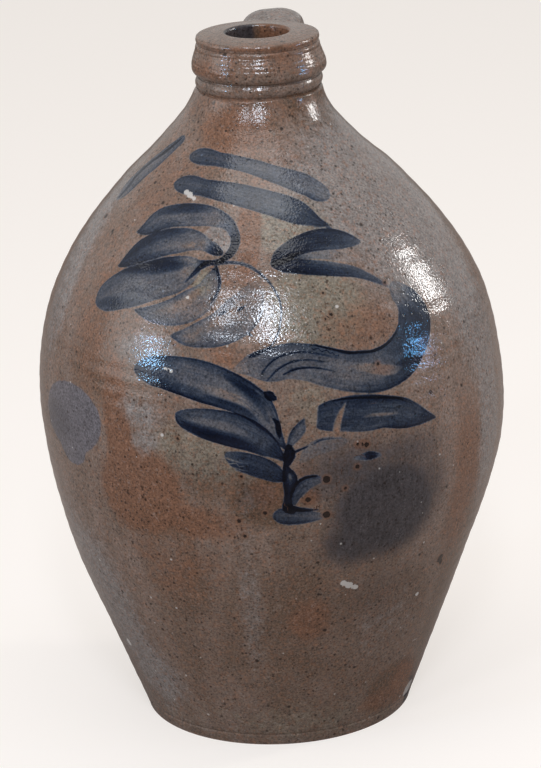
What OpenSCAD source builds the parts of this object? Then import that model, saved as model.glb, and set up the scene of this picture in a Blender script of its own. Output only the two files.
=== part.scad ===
// Ovoid salt-glazed stoneware jug with one strap handle, in millimetres.
// The origin is the centre of the base on the table and +Z is up.
// The handle stands towards +Y and the brushed front faces -Y.

/* [Body] */
// Radius of the flat base
base_r = 77.6; // [70:0.2:86]
// Largest radius, at the belly
belly_r = 133.6; // [124:0.2:142]
// Height of the belly seam, where the two thrown halves are luted
belly_h = 190; // [170:1:210]
// Height of the shoulder, from the belly seam to the seat of the neck bead
shoulder_h = 180; // [165:1:195]
// Radius of the neck under the bead
neck_r = 35.4; // [33:0.2:38]
// Thickness of the thrown wall
wall_t = 8; // [6:0.5:10]
// Thickness of the floor
floor_t = 12; // [9:0.5:16]
// Radius of the curve inside, between the floor and the wall
floor_curve_r = 18; // [12:1:24]
// Height of the bevel that trims the edge of the base
base_bevel = 1.6; // [1:0.2:3]
// Height of the turned line above the base
foot_line_h = 7; // [5:0.5:12]
// Depth of the turned line
foot_line_d = 0.6; // [0.3:0.1:1]
// Height of the tongue that keys the upper half on the lower one
seam_tongue_h = 3; // [2:0.5:5]

/* [Neck] */
// Radius of the round mouth
mouth_r = 17.5; // [14:0.5:20]
// Outer radius of the neck tube that carries the bead and the collar
tube_r = 27.5; // [25:0.5:30]
// Length of the straight bore, from the rounded lip down
bore_len = 45; // [35:1:50]
// Rounding of the lip where the mouth opens
lip_round = 1.5; // [1:0.1:3]

/* [Bead] */
// Height of the thin bead under the collar
bead_h = 5.8; // [4:0.2:8]
// Largest radius of the bead
bead_r = 35.8; // [35:0.1:38]
// How far the bead bulges past its two edges
bead_bulge = 1; // [0.6:0.1:2]

/* [Collar] */
// Height of the collar, from the bead to the edge of the mouth
collar_h = 24.2; // [22:0.2:30]
// Largest radius of the collar's roll
collar_roll_r = 37.8; // [36.5:0.1:41]
// Radius of the collar at the outer edge of its rim
collar_rim_r = 34.6; // [33:0.1:36]
// How far the rim's top slopes down from the mouth to its outer edge
rim_drop = 1.3; // [0.8:0.1:4]
// Rounding of the rim's outer edge
rim_round = 1.6; // [1:0.1:2.5]

/* [Handle] */
// Width of the strap at its crest
strap_w = 34; // [28:1:40]
// Thickness of the strap at its crest
strap_t = 17; // [12:0.5:20]
// Width of the strap where it lands
strap_foot_w = 30; // [24:1:36]
// Thickness of the strap where it lands
strap_foot_t = 11; // [9:0.5:14]
// Depth of the finger groove drawn along the strap
strap_groove_d = 0.6; // [0.4:0.1:2]
// Reach of the strap's middle from the jug's axis
strap_reach = 98; // [90:1:108]
// How far the crest's top lies under the edge of the mouth
strap_crest_drop = 0.2; // [0:0.1:8]
// Height of the strap's outermost place under the edge of the mouth
strap_out_drop = 50; // [42:1:58]
// Height of the foot piece's start above the place where the strap meets the shoulder
strap_foot_rise = 18; // [12:1:24]
// How much wider the root is where it is pressed on the collar
root_flare_w = 9; // [4:0.5:14]
// How much thicker the root is where it is pressed on the collar
root_flare_t = 8; // [4:0.5:12]
// Drop of the thumbed tail's tip under the place where the strap meets the shoulder
tail_drop = 28; // [20:1:36]
// Width of the thumbed tail's tip
tail_tip_w = 18; // [12:1:24]

/* [Hidden] */
$fn = 96;

seat_h = belly_h + shoulder_h;
collar_base_h = seat_h + bead_h;
jug_h = collar_base_h + collar_h;
collar_side_h = collar_h - rim_drop;
bore_bottom_h = jug_h - lip_round - bore_len;
// Rows of points along each stretch of wall
wall_rows = 26;
collar_rows = 24;
curve_rows = 8;
// Half the width of the turned line
foot_line_w = foot_line_d * 1.5;
// Share of the shoulder's height where the wall starts to thicken into the neck
thicken_share = 0.7;

// Lower wall, as shares of the belly's height and of the swell from base to belly
lower_shares = [
    [0, 0], [0.158, 0.2], [0.316, 0.401], [0.474, 0.603], [0.632, 0.782], [0.789, 0.922],
    [0.895, 0.98], [1, 1]
];
// Shoulder, as shares of its height and of the swell from neck to belly
upper_shares = [
    [0.111, 0.988], [0.222, 0.957], [0.333, 0.902], [0.444, 0.808], [0.556, 0.676],
    [0.639, 0.552], [0.722, 0.417], [0.789, 0.283], [0.856, 0.166], [0.911, 0.08],
    [0.956, 0.03], [1, 0]
];
// Collar's side, as shares of its height and of the roll's rise from the rim's edge:
// the undercut, the roll, and the tooled groove with the upper band over it
collar_shares = [
    [0, -0.1], [0.05, 0.19], [0.1, 0.63], [0.17, 0.95], [0.25, 1], [0.34, 0.94], [0.43, 0.76],
    [0.53, 0.52], [0.64, 0.23], [0.75, 0.07], [0.83, -0.09], [0.89, -0.01], [0.95, 0.02],
    [1, 0]
];

body_points = concat(
    [for (s = lower_shares) [s[0] * belly_h, base_r + s[1] * (belly_r - base_r)]],
    [for (s = upper_shares) [belly_h + s[0] * shoulder_h, neck_r + s[1] * (belly_r - neck_r)]]
);
collar_points = [
    for (s = collar_shares) [
        s[0] * collar_side_h,
        collar_rim_r + s[1] * (collar_roll_r - collar_rim_r)
    ]
];

// Smooth curve through a table of [place, value] rows
function slope(t, i) =
    let (a = max(i - 1, 0), b = min(i + 1, len(t) - 1))
    (t[b][1] - t[a][1]) / (t[b][0] - t[a][0]);
function hermite(p, q, m, n, h, s) =
    (2 * pow(s, 3) - 3 * pow(s, 2) + 1) * p + (pow(s, 3) - 2 * pow(s, 2) + s) * h * m
    + (3 * pow(s, 2) - 2 * pow(s, 3)) * q + (pow(s, 3) - pow(s, 2)) * h * n;
function curve_at(t, x, i = 0) =
    x > t[i + 1][0] && i < len(t) - 2 ? curve_at(t, x, i + 1) :
    let (h = t[i + 1][0] - t[i][0])
    hermite(t[i][1], t[i + 1][1], slope(t, i), slope(t, i + 1), h, (x - t[i][0]) / h);

// Outside radius of the wall at height z, and how fast it changes there
function outside(z) = curve_at(body_points, z);
function outside_slope(z) =
    let (a = max(z - wall_t / 8, 0), b = min(z + wall_t / 8, seat_h))
    (outside(b) - outside(a)) / (b - a);
// Height on the shoulder where the wall has radius r, by halving the stretch that holds it
function shoulder_height_at(r, low = belly_h, high = seat_h, halvings = 16) =
    let (mid = (low + high) / 2)
    halvings == 0 ? mid :
    outside(mid) > r ? shoulder_height_at(r, mid, high, halvings - 1) :
    shoulder_height_at(r, low, mid, halvings - 1);
function smooth(s) = let (c = min(max(s, 0), 1)) c * c * (3 - 2 * c);
// Inside radius: the wall's thickness is measured square to it, and the neck is thick
function inside(z) =
    let (
        start_h = belly_h + thicken_share * shoulder_h,
        s = smooth((z - start_h) / (bore_bottom_h - start_h)),
        thin = wall_t * sqrt(1 + pow(outside_slope(z), 2)),
        thick = outside(z) - mouth_r
    )
    outside(z) - thin - s * (thick - thin);

// Points of the wall from height a to height b, on the outside and on the inside
function outer_points(a, b, n) = [for (i = [0:n]) let (z = a + (b - a) * i / n) [outside(z), z]];
function inner_points(a, b, n) = [for (i = [0:n]) let (z = a + (b - a) * i / n) [inside(z), z]];

// The keyed seam between the halves, from the outside in
function seam_points() = [
    [belly_r, belly_h],
    [belly_r - wall_t / 4, belly_h],
    [belly_r - wall_t / 2, belly_h + seam_tongue_h],
    [belly_r - 3 * wall_t / 4, belly_h],
    [inside(belly_h), belly_h]
];
function reversed(t) = [for (i = [len(t) - 1:-1:0]) t[i]];
function without_last(t) = [for (i = [0:len(t) - 2]) t[i]];

// Outside of the lower half, from the base up, with its trimmed edge and turned line
function foot_points() = [
    [outside(0) - base_bevel, 0],
    [outside(base_bevel), base_bevel],
    [outside(foot_line_h - foot_line_w), foot_line_h - foot_line_w],
    [outside(foot_line_h) - foot_line_d, foot_line_h]
];

module lower_body() {
    curve_h = floor_t + floor_curve_r;
    curve_mid_r = inside(curve_h) - floor_curve_r;
    color("rosybrown")
    rotate_extrude()
    polygon(concat(
        [[0, 0]],
        foot_points(),
        without_last(outer_points(foot_line_h + foot_line_w, belly_h, wall_rows)),
        without_last(seam_points()),
        reversed(inner_points(curve_h, belly_h, wall_rows)),
        [for (i = [1:curve_rows])
            let (a = -90 * i / curve_rows)
            [curve_mid_r + floor_curve_r * cos(a), curve_h + floor_curve_r * sin(a)]],
        [[0, floor_t]]
    ));
}

// Height of the sloping rim top at radius r
function rim_at(r) =
    let (edge_r = mouth_r + lip_round)
    jug_h - rim_drop * (r - edge_r) / (collar_rim_r - edge_r);

module upper_body() {
    color("tan")
    rotate_extrude()
    polygon(concat(
        reversed(seam_points()),
        [for (p = outer_points(belly_h, seat_h, wall_rows)) if (p[1] > belly_h) p],
        [[tube_r, seat_h], [tube_r, rim_at(tube_r)]],
        [for (i = [0:curve_rows])
            let (a = 90 + 90 * i / curve_rows)
            [
                mouth_r + lip_round + lip_round * cos(a),
                jug_h - lip_round + lip_round * sin(a)
            ]],
        [[mouth_r, bore_bottom_h]],
        [for (p = reversed(inner_points(belly_h, bore_bottom_h, wall_rows)))
            if (p[1] > belly_h && p[1] < bore_bottom_h) p]
    ));
}

function bead_points() = [
    for (i = [0:curve_rows])
        [
            bead_r - bead_bulge * (1 - sin(180 * i / curve_rows)),
            seat_h + bead_h * i / curve_rows
        ]
];

module neck_bead() {
    color("saddlebrown")
    rotate_extrude()
    polygon(concat([[tube_r, seat_h]], bead_points(), [[tube_r, collar_base_h]]));
}

// Side of the collar from the bead up, then the rounded outer edge of the rim
function collar_side_points() = concat(
    [for (i = [0:collar_rows])
        let (h = (collar_side_h - rim_round) * i / collar_rows)
        [curve_at(collar_points, h), collar_base_h + h]],
    [for (i = [1:curve_rows])
        let (a = 90 * i / curve_rows)
        [
            collar_rim_r - rim_round * (1 - cos(a)),
            rim_at(collar_rim_r - rim_round) - rim_round * (1 - sin(a))
        ]]
);

module neck_collar() {
    color("sienna")
    rotate_extrude()
    polygon(concat(
        [[tube_r, collar_base_h]],
        collar_side_points(),
        [[tube_r, rim_at(tube_r)]]
    ));
}

// All that the jug's own clay fills, as one revolved shape that trims the handle
module jug_envelope() {
    rotate_extrude()
    polygon(concat(
        [[0, belly_h]],
        outer_points(belly_h, seat_h, wall_rows),
        bead_points(),
        collar_side_points(),
        [[0, rim_at(collar_rim_r - rim_round)]]
    ));
}

// Points of the handle's middle line, as [radius from the axis, height]
crest_h = jug_h - strap_crest_drop - strap_t / 2;
// The two inner points of the rising curve lie above the crest that they draw
crest_pull_share = 1.72;
// Share of the collar's height where the root is pressed on
root_h_share = 0.26;
root_h = collar_base_h + collar_h * root_h_share;
out_h = jug_h - strap_out_drop;
meet_h = shoulder_height_at(strap_reach - strap_foot_t / 2);
foot_h = meet_h + strap_foot_rise;
tail_h = meet_h - tail_drop;
pull_h = root_h + (crest_h - root_h) * crest_pull_share;
rise = [
    [tube_r, root_h], [collar_roll_r + strap_t, pull_h], [strap_reach, pull_h],
    [strap_reach, out_h]
];
fall = [
    [strap_reach, out_h],
    [strap_reach, out_h - (out_h - foot_h) / 3],
    [strap_reach - strap_foot_t / 8, foot_h + (out_h - foot_h) / 3],
    [strap_reach - strap_foot_t / 8, foot_h]
];
landing_h = (foot_h + tail_h) / 2;
tail = [
    [strap_reach - strap_foot_t / 8, foot_h],
    [strap_reach - strap_foot_t / 8, foot_h - (foot_h - tail_h) / 3],
    [outside(landing_h), landing_h],
    [outside(tail_h), tail_h]
];

function bezier(p, s) =
    pow(1 - s, 3) * p[0] + 3 * pow(1 - s, 2) * s * p[1]
    + 3 * (1 - s) * pow(s, 2) * p[2] + pow(s, 3) * p[3];
function bezier_way(p, s) =
    let (d = pow(1 - s, 2) * (p[1] - p[0]) + 2 * (1 - s) * s * (p[2] - p[1])
        + pow(s, 2) * (p[3] - p[2]))
    d / norm(d);

// Points round one ring of the handle
ring_sides = 24;
// Fullness of the strap's oval: 1 is an ellipse, and less is squarer
oval_fullness = 1;
groove_width_share = 0.16;
function signed_pow(v, e) = sign(v) * pow(abs(v), e);
// One ring of width w and thickness t across the middle line at point c, heading along d
function ring(c, d, w, t) = [
    for (i = [0:ring_sides - 1])
        let (
            a = 360 * i / ring_sides,
            x = w / 2 * signed_pow(cos(a), oval_fullness),
            groove = sin(a) > 0 ? strap_groove_d * exp(-pow(x / (w * groove_width_share), 2)) : 0,
            out = t / 2 * signed_pow(sin(a), oval_fullness) - groove
        )
        [x, c[0] - out * d[1], c[1] + out * d[0]]
];

// Solid through a row of rings that all have the same number of points
module loft(rings) {
    n = len(rings[0]);
    last = len(rings) - 1;
    polyhedron(
        points = [for (r = rings) each r],
        faces = concat(
            [[for (i = [0:n - 1]) i]],
            [for (k = [0:last - 1], i = [0:n - 1])
                let (j = (i + 1) % n, a = k * n, b = a + n)
                each [[a + i, b + i, b + j], [a + i, b + j, a + j]]],
            [[for (i = [n - 1:-1:0]) last * n + i]]
        )
    );
}

// Width and thickness of the strap at share s of the way from its crest to its foot
function strap_width(s) = strap_w + (strap_foot_w - strap_w) * smooth(s);
function strap_thick(s) = strap_t + (strap_foot_t - strap_t) * smooth(s);

// Share of the rising curve that belongs to the flared root
root_share = 0.2;
root_rings = 8;
rise_rings = 16;
fall_rings = 10;
tail_rings = 14;

module handle_root() {
    color("rosybrown")
    difference() {
        loft([
            for (i = [0:root_rings])
                let (s = root_share * i / root_rings, flare = pow(1 - i / root_rings, 2))
                ring(
                    bezier(rise, s), bezier_way(rise, s),
                    strap_w + root_flare_w * flare, strap_t + root_flare_t * flare
                )
        ]);
        jug_envelope();
    }
}

module strap_handle() {
    color("darkkhaki")
    loft(concat(
        [for (i = [0:rise_rings])
            let (s = root_share + (1 - root_share) * i / rise_rings)
            ring(bezier(rise, s), bezier_way(rise, s), strap_width(s / 2), strap_thick(s / 2))],
        [for (i = [1:fall_rings])
            let (s = i / fall_rings)
            ring(bezier(fall, s), bezier_way(fall, s), strap_width((1 + s) / 2), strap_thick((1 + s) / 2))]
    ));
}

module handle_foot() {
    color("gray")
    difference() {
        loft([
            for (i = [0:tail_rings])
                let (s = i / tail_rings, w = strap_foot_w + (tail_tip_w - strap_foot_w) * smooth(s))
                ring(bezier(tail, s), bezier_way(tail, s), w, strap_foot_t * (1 - s / 2))
        ]);
        jug_envelope();
    }
}

lower_body();
upper_body();
neck_bead();
neck_collar();
handle_root();
strap_handle();
handle_foot();
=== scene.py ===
import math

import bpy
import numpy as np
from mathutils import Matrix, Vector
from mathutils.bvhtree import BVHTree


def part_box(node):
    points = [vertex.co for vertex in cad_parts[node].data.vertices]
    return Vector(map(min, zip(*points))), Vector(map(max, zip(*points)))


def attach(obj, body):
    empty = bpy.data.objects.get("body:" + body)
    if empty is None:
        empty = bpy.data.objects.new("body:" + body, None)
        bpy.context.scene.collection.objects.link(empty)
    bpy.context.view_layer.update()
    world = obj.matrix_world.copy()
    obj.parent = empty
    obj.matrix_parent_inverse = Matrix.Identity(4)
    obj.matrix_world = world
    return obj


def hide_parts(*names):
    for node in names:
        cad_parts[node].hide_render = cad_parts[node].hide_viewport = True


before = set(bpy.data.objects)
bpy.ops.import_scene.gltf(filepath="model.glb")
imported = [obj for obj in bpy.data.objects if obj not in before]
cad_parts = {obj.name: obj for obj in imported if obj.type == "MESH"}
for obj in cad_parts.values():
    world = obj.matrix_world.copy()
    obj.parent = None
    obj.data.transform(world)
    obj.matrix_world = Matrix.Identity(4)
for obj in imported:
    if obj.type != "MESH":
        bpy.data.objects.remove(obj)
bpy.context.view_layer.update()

# Camera
# It stands where the photograph was taken from: a little above the jug, eight degrees round
# from the middle of its front, with the picture leaning slightly to the left.
photo_wide_px = 541
photo_tall_px = 768
photo_focal_px = 3193.5
sensor_tall_mm = 36
camera_reach = 1.7485
camera_rise = 0.7833
camera_aside = 0.00067
front_turn = math.radians(8)
camera_pitch = math.radians(18.68)
camera_roll = math.radians(-2.15)

bpy.ops.object.camera_add()
camera = bpy.context.object
camera.name = "photo_camera"
camera.data.sensor_fit = "VERTICAL"
camera.data.sensor_height = sensor_tall_mm
camera.data.lens = photo_focal_px * sensor_tall_mm / photo_tall_px
camera.matrix_world = (
    Matrix.Rotation(front_turn, 4, "Z")
    @ Matrix.Translation((camera_aside, -camera_reach, camera_rise))
    @ Matrix.Rotation(math.pi / 2 - camera_pitch, 4, "X")
    @ Matrix.Rotation(camera_roll, 4, "Z")
)
bpy.context.scene.camera = camera
bpy.context.view_layer.update()


def photo_ray(px, py):
    """Start and way of the line of sight through a pixel of the photograph."""
    look = Vector((px - photo_wide_px / 2, photo_tall_px / 2 - py, -photo_focal_px))
    return camera.matrix_world.translation, (camera.matrix_world.to_3x3() @ look).normalized()


# Jug body
# One thrown vessel of stoneware clay: trimmed base, ovoid wall, neck tube and rounded lip.
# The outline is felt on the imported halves, drawn as one line and spun round the axis.
seat_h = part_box("neck_bead")[0].z
seam_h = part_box("upper_body")[0].z
jug_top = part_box("upper_body")[1].z
far = 1.0


def tree_of(piece):
    """The surface of a mesh, ready for rays."""
    mesh = piece.data
    return BVHTree.FromPolygons([v.co for v in mesh.vertices], [p.vertices[:] for p in mesh.polygons])


half_trees = {name: tree_of(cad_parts[name]) for name in ("lower_body", "upper_body")}


def outer_r(tree, height):
    """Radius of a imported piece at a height, felt from in front of it."""
    return -tree.ray_cast(Vector((0, -far, height)), Vector((0, 1, 0)))[0].y


def felt(height, from_outside):
    """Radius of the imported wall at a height, on its outside or its inside."""
    tree = half_trees["lower_body" if height < seam_h else "upper_body"]
    if from_outside:
        return outer_r(tree, height)
    return -tree.ray_cast(Vector((0, 0, height)), Vector((0, -1, 0)))[0].y


def eased(places, values):
    """A smooth curve through a table of places and values, as a function."""
    places, values = np.array(places, float), np.array(values, float)
    slopes = np.gradient(values, places)

    def at(x):
        i = np.clip(np.searchsorted(places, x) - 1, 0, len(places) - 2)
        wide = places[i + 1] - places[i]
        s = (x - places[i]) / wide
        return (
            (2 * s**3 - 3 * s**2 + 1) * values[i] + (s**3 - 2 * s**2 + s) * wide * slopes[i]
            + (3 * s**2 - 2 * s**3) * values[i + 1] + (s**3 - s**2) * wide * slopes[i + 1]
        )

    return at


line_h = 0.007
line_deep = 0.0006
line_half = 0.0006
bevel = 0.0016
wall_facets = 26
inset = 1e-5
felt_heights = [bevel + inset, line_h - 0.0009]
felt_heights += list(np.linspace(line_h + 0.0009, seam_h - inset, wall_facets + 1))
felt_heights += list(np.linspace(seam_h, seat_h - inset, wall_facets + 1)[1:])
outline = eased(felt_heights, [felt(h, True) for h in felt_heights])
neck_line_h = seat_h - 0.0010
neck_line_deep = 0.0014


def dip(away, deep, half):
    """Depth of a rounded groove at a distance from its middle."""
    return deep * math.exp(-((away / half) ** 2))


def wall(height):
    """Radius of the outside at a height, with its two turned lines: at the foot and under the bead."""
    foot_cut = dip(height - line_h, line_deep, line_half)
    return float(outline(height)) - foot_cut - dip(height - neck_line_h, neck_line_deep, line_half)


base_rise = 0.0008
base_r = wall(0) - bevel
mouth_r = felt(jug_top - 0.01, False)
tube_r = felt(jug_top - 0.01, True)
tube_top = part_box("neck_collar")[1].z
lip_round = 0.0015
bore_long = 0.045
bore_bottom = jug_top - lip_round - bore_long
floor_top = 0.012

profile = [(r, base_rise * (1 - r / base_r)) for r in np.linspace(0, base_r, 9)]
profile += [(wall(bevel) - bevel * math.cos(a), bevel * (1 - math.sin(a)) * 0.4)
            for a in np.radians([25, 50, 75])]
# The rows stand close where the brushwork lies
brushed_low = 0.092
brushed_high = 0.342
rows = np.concatenate([
    np.linspace(bevel, line_h - 0.0012, 3), np.linspace(line_h - 0.0009, line_h + 0.0009, 7),
    np.arange(line_h + 0.0025, brushed_low, 0.003), np.arange(brushed_low, brushed_high, 0.00142),
    np.arange(brushed_high, seat_h - 0.0035, 0.0017), np.linspace(seat_h - 0.003, seat_h, 9),
])
profile += [(wall(h), h) for h in rows]
profile += [(tube_r, seat_h), (tube_r, (seat_h + tube_top) / 2)]
profile += [(r, tube_top + (jug_top - tube_top) * (tube_r - r) / (tube_r - mouth_r - lip_round))
            for r in np.linspace(tube_r, mouth_r + lip_round, 6)]
profile += [(mouth_r + lip_round * (1 + math.cos(a)), jug_top - lip_round * (1 - math.sin(a)))
            for a in np.radians([110, 130, 150, 180])]
profile += [(mouth_r, h) for h in np.linspace(jug_top - 0.006, bore_bottom, 9)]
profile += [(felt(h, False), h) for h in np.linspace(bore_bottom - 0.002, floor_top + 0.02, 38)]
profile += [(felt(h, False), h) for h in floor_top + 0.018 * (1 - np.sin(np.radians([12, 30, 50, 70])))]
profile += [(r, floor_top) for r in (0.06, 0.03, 0)]


def only(piece):
    """Selects one piece alone and makes it the active one."""
    bpy.ops.object.select_all(action="DESELECT")
    piece.select_set(True)
    bpy.context.view_layer.objects.active = piece


def draw_line(name, points, turn):
    """A new mesh with one line of points (radius, height), standing at a turn round the axis."""
    bpy.ops.object.select_all(action="DESELECT")
    bpy.ops.mesh.primitive_plane_add(size=0.01)
    piece = bpy.context.object
    piece.name = piece.data.name = name
    bpy.ops.object.mode_set(mode="EDIT")
    bpy.ops.mesh.merge(type="CENTER")
    places = [Vector((r * math.sin(turn), -r * math.cos(turn), h)) for r, h in points]
    bpy.ops.transform.translate(value=places[0])
    for before, after in zip(places, places[1:]):
        bpy.ops.mesh.extrude_region_move(TRANSFORM_OT_translate={"value": after - before})
    return piece


def close_up(piece, closeness=2e-6):
    """Merges doubled points, turns every face outwards and smooths the shading."""
    bpy.ops.mesh.select_all(action="SELECT")
    bpy.ops.mesh.remove_doubles(threshold=closeness)
    bpy.ops.mesh.normals_make_consistent(inside=False)
    bpy.ops.object.mode_set(mode="OBJECT")
    only(piece)
    bpy.ops.object.shade_smooth_by_angle(angle=math.radians(38))


front_half = math.radians(78)
front_steps = 226
back_steps = 56
body = draw_line("jug_body", profile, front_turn + front_half)
bpy.ops.mesh.select_all(action="SELECT")
bpy.ops.mesh.spin(steps=front_steps, angle=2 * front_half, center=(0, 0, 0), axis=(0, 0, 1))
bpy.ops.mesh.spin(steps=back_steps, angle=2 * math.pi - 2 * front_half, center=(0, 0, 0), axis=(0, 0, 1))
close_up(body)

# The thrown axis wanders sideways by a millimetre or two: heights and steps to the right
lean_curve = eased(
    [-0.01, 0.06, 0.1, 0.135, 0.17, 0.19, 0.215, 0.24, 0.262, 0.28, 0.302, 0.322, 0.336, 0.35, 0.362, 0.371,
     0.379, 0.388, 0.41],
    [-0.0009, -0.0009, -0.0011, 0.0007, 0.0019, 0.0014, 0.0007, 0.0006, 0.0005, 0.0001, -0.0003, -0.0007,
     -0.0013, -0.0012, -0.0005, 0.0005, 0.001, 0.0006, 0.0008])
right_way = np.array([math.cos(front_turn), math.sin(front_turn), 0])
ring_pitch = 0.0085
ring_deep = 0.00008
slow_ring = 2.7


def points_of(piece):
    co = np.empty(len(piece.data.vertices) * 3)
    piece.data.vertices.foreach_get("co", co)
    return co.reshape(-1, 3)


def set_points(piece, co):
    piece.data.vertices.foreach_set("co", co.ravel())
    piece.data.update()


def turn_of(co):
    return np.arctan2(co[..., 0], -co[..., 1])


def lean(co):
    """The points, moved sideways with the wandering axis."""
    return co + lean_curve(co[:, 2])[:, None] * right_way


def throw(co):
    """The points with the faint rings that fingers leave, which wander as they climb."""
    climb = co[:, 2] + turn_of(co) * ring_pitch / (2 * math.pi)
    phase = climb * 2 * math.pi / ring_pitch
    wave = np.sin(phase) + 0.6 * np.sin(phase / slow_ring + 1)
    thrown = (co[:, 2] > line_h * 2) * (co[:, 2] < seat_h * 0.97)
    swell = 1 + ring_deep * wave * thrown / np.maximum(np.hypot(co[:, 0], co[:, 1]), 0.02)
    return co * np.stack([swell, swell, np.ones(len(co))], axis=1)


set_points(body, lean(throw(points_of(body))))
wall_tree = tree_of(body)


def on_wall(px, py):
    """Place and outward way of the wall behind a pixel of the photograph."""
    place, way, _, _ = wall_tree.ray_cast(*photo_ray(px, py))
    return place, way


# Tones of the fired glaze on the body, some patches holding painted sheen and shade as noted: each patch has
# the pixel of its middle, half its width and height on the wall in millimetres, its lean in degrees, its
# strength and how soft it is
front_patches = {
    "rust": {
        "under the neck": (236, 132, 24, 14, 0, 0.8, 0.7),
        "across the shoulder": (262, 152, 46, 16, -6, 0.5, 0.9),
        "on the left shoulder": (165, 190, 34, 40, 30, 0.4, 0.9),
        "strip in the middle": (249, 236, 6.6, 24, 0, 0.95, 0.3),
        "between the petals": (236, 276, 10, 10, 0, 0.5, 0.8),
        "island in the curl": (358, 328, 24, 15, 10, 0.55, 0.8),
        "beside the curl": (372, 260, 13, 10, 0, 0.7, 0.7),
        "under the flower": (226, 356, 16, 7, -14, 0.6, 0.6),
        "on the left belly": (100, 322, 22, 44, 0, 0.55, 0.8),
        "tongue at the left": (117, 424, 10, 44, 8, 0.95, 0.4),
        "field at the left": (140, 490, 26, 30, -14, 1.15, 0.35),
        "arm of the field": (196, 522, 30, 12, -6, 0.8, 0.6),
        "below the field": (174, 560, 24, 26, -20, 0.55, 0.9),
        "beside the stem": (270, 494, 10, 12, 0, 0.5, 0.7),
        "in the foot curl": (310, 497, 6, 6, 0, 0.9, 0.5),
        "above the foot curl": (306, 470, 8, 6, 0, 0.6, 0.6), "by the crack": (362, 444, 5, 3, 0, 1.2, 0.5),
        "in the bend": (386, 369, 10, 4, 0, 0.8, 0.6), "at the right": (470, 470, 16, 60, 0, 0.75, 0.8),
        "in the low middle": (312, 622, 13, 16, 0, 0.75, 0.7),
        "near the base": (402, 680, 12, 20, 20, 1.1, 0.5),
        "behind the base dent": (380, 700, 16, 10, 0, 0.7, 0.7),
        "round the neck": (236, 108, 60, 14, 0, 0.55, 0.9)},
    "olive": {
        "under the bars": (292, 226, 24, 14, 0, 0.8, 0.5),
        "below the curl": (318, 308, 26, 24, 0, 1.0, 0.5),
        "in the third petal": (200, 278, 6, 10, 30, 0.8, 0.5),
        "under the leaves": (190, 455, 34, 16, -10, 0.6, 0.7),
        "at the foot": (290, 726, 120, 14, 0, 0.35, 0.8),
        "between the leaves": (312, 400, 12, 16, 0, 0.45, 0.8)},
    "film": {
        "in the petals": (221, 238, 8.5, 7.5, 0, 1.6, 0.4),
        "at the left leaf": (138, 414, 13, 9, -20, 0.8, 0.8),
        "below the left leaf": (144, 440, 9, 9, 20, 0.75, 0.8),
        "under the flower": (150, 350, 22, 10, 0, 0.8, 0.6),
        # Partly painted light: this film patch is partly grey film and partly a painted sheen of the light
        # from the left
        "on the left side": (72, 264, 16, 50, 10, 1.15, 0.8),
        "down the left": (104, 590, 30, 60, 12, 0.95, 0.7),
        "low at the left": (150, 665, 22, 30, 12, 0.8, 0.7), "streak": (250, 590, 6.5, 75, 0, 0.42, 0.7),
        # Partly painted light: this film patch is partly grey film and partly a painted sheen on the right
        # shoulder
        "on the right shoulder": (392, 205, 46, 50, -30, 1.3, 0.7),
        "on the right side": (470, 300, 26, 70, 0, 0.85, 0.8),
        "at the right edge": (490, 400, 14, 60, 0, 1.1, 0.7),
        "below the smoke": (382, 632, 26, 26, 0, 0.35, 0.7)},
    "ash": {
        "kiss": (69, 417, 30.5, 23, 8, 1.1, 0.07), "tip of the kiss": (71, 442, 15, 15, 8, 1.1, 0.09)},
    "smoke": {
        "on the kiss": (58, 420, 22, 14, 8, 0.42, 0.6), "cloud": (388, 508, 32.5, 34, 20, 1.05, 0.5),
        "cloud's low left": (362, 536, 24, 20, 30, 0.85, 0.6),
        "cloud's right": (424, 488, 18, 28, 0, 0.6, 0.7), "cloud's top": (356, 472, 34, 22, 0, 0.7, 0.9),
        "under the leaf": (402, 456, 30, 16, 0, 0.6, 0.8),
        "by the crack": (334, 447, 14, 6.5, 12, 0.5, 0.6),
        "below the cloud": (380, 590, 30, 26, 0, 0.28, 0.9),
        "beside the stem": (258, 498, 14, 14, 0, 0.35, 0.8),
        "under the leaves": (208, 470, 32, 12, -10, 0.28, 0.9)},
    "toast": {
        # Partly painted shade: this toast patch darkens the whole lower wall, partly as browner glaze and
        # partly as painted shade low on the jug
        "all round the lower wall": (335, 640, 105, 70, 0, 0.5, 0.7),
        "in the left middle": (188, 588, 24, 40, 0, 0.5, 0.8),
        "in the low middle": (300, 590, 20, 45, 0, 0.5, 0.8),
        "at the foot": (290, 735, 150, 12, 0, 0.3, 0.8), "by the dent": (392, 684, 20, 20, 20, 1.2, 0.5),
        "beside the stem": (262, 500, 18, 18, 0, 1.2, 0.7),
        "under the leaves": (210, 478, 26, 16, -10, 0.6, 0.7),
        "under the neck": (270, 112, 70, 16, 0, 0.3, 0.8),
        "at the right of the neck": (318, 106, 22, 22, 0, 1.4, 0.8),
        "in the rust field": (150, 520, 26, 14, -14, 0.6, 0.8),
        "at the right": (455, 560, 22, 60, 0, 0.75, 0.8),
        "on the left belly": (100, 350, 24, 40, 0, 0.5, 0.8)},
    "specks": {
        "on the shoulder": (240, 150, 50, 30, 0, 1.0, 0.8), "in the curl": (350, 325, 30, 20, 0, 1.0, 0.6),
        "beside the bars": (250, 230, 14, 30, 0, 0.9, 0.8),
        "in the rust field": (160, 520, 40, 40, 0, 0.8, 0.8),
        "on the right shoulder": (380, 240, 40, 30, 0, 0.6, 0.8),
        "low in the middle": (280, 640, 70, 60, 0, 0.5, 0.9)},
}
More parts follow.
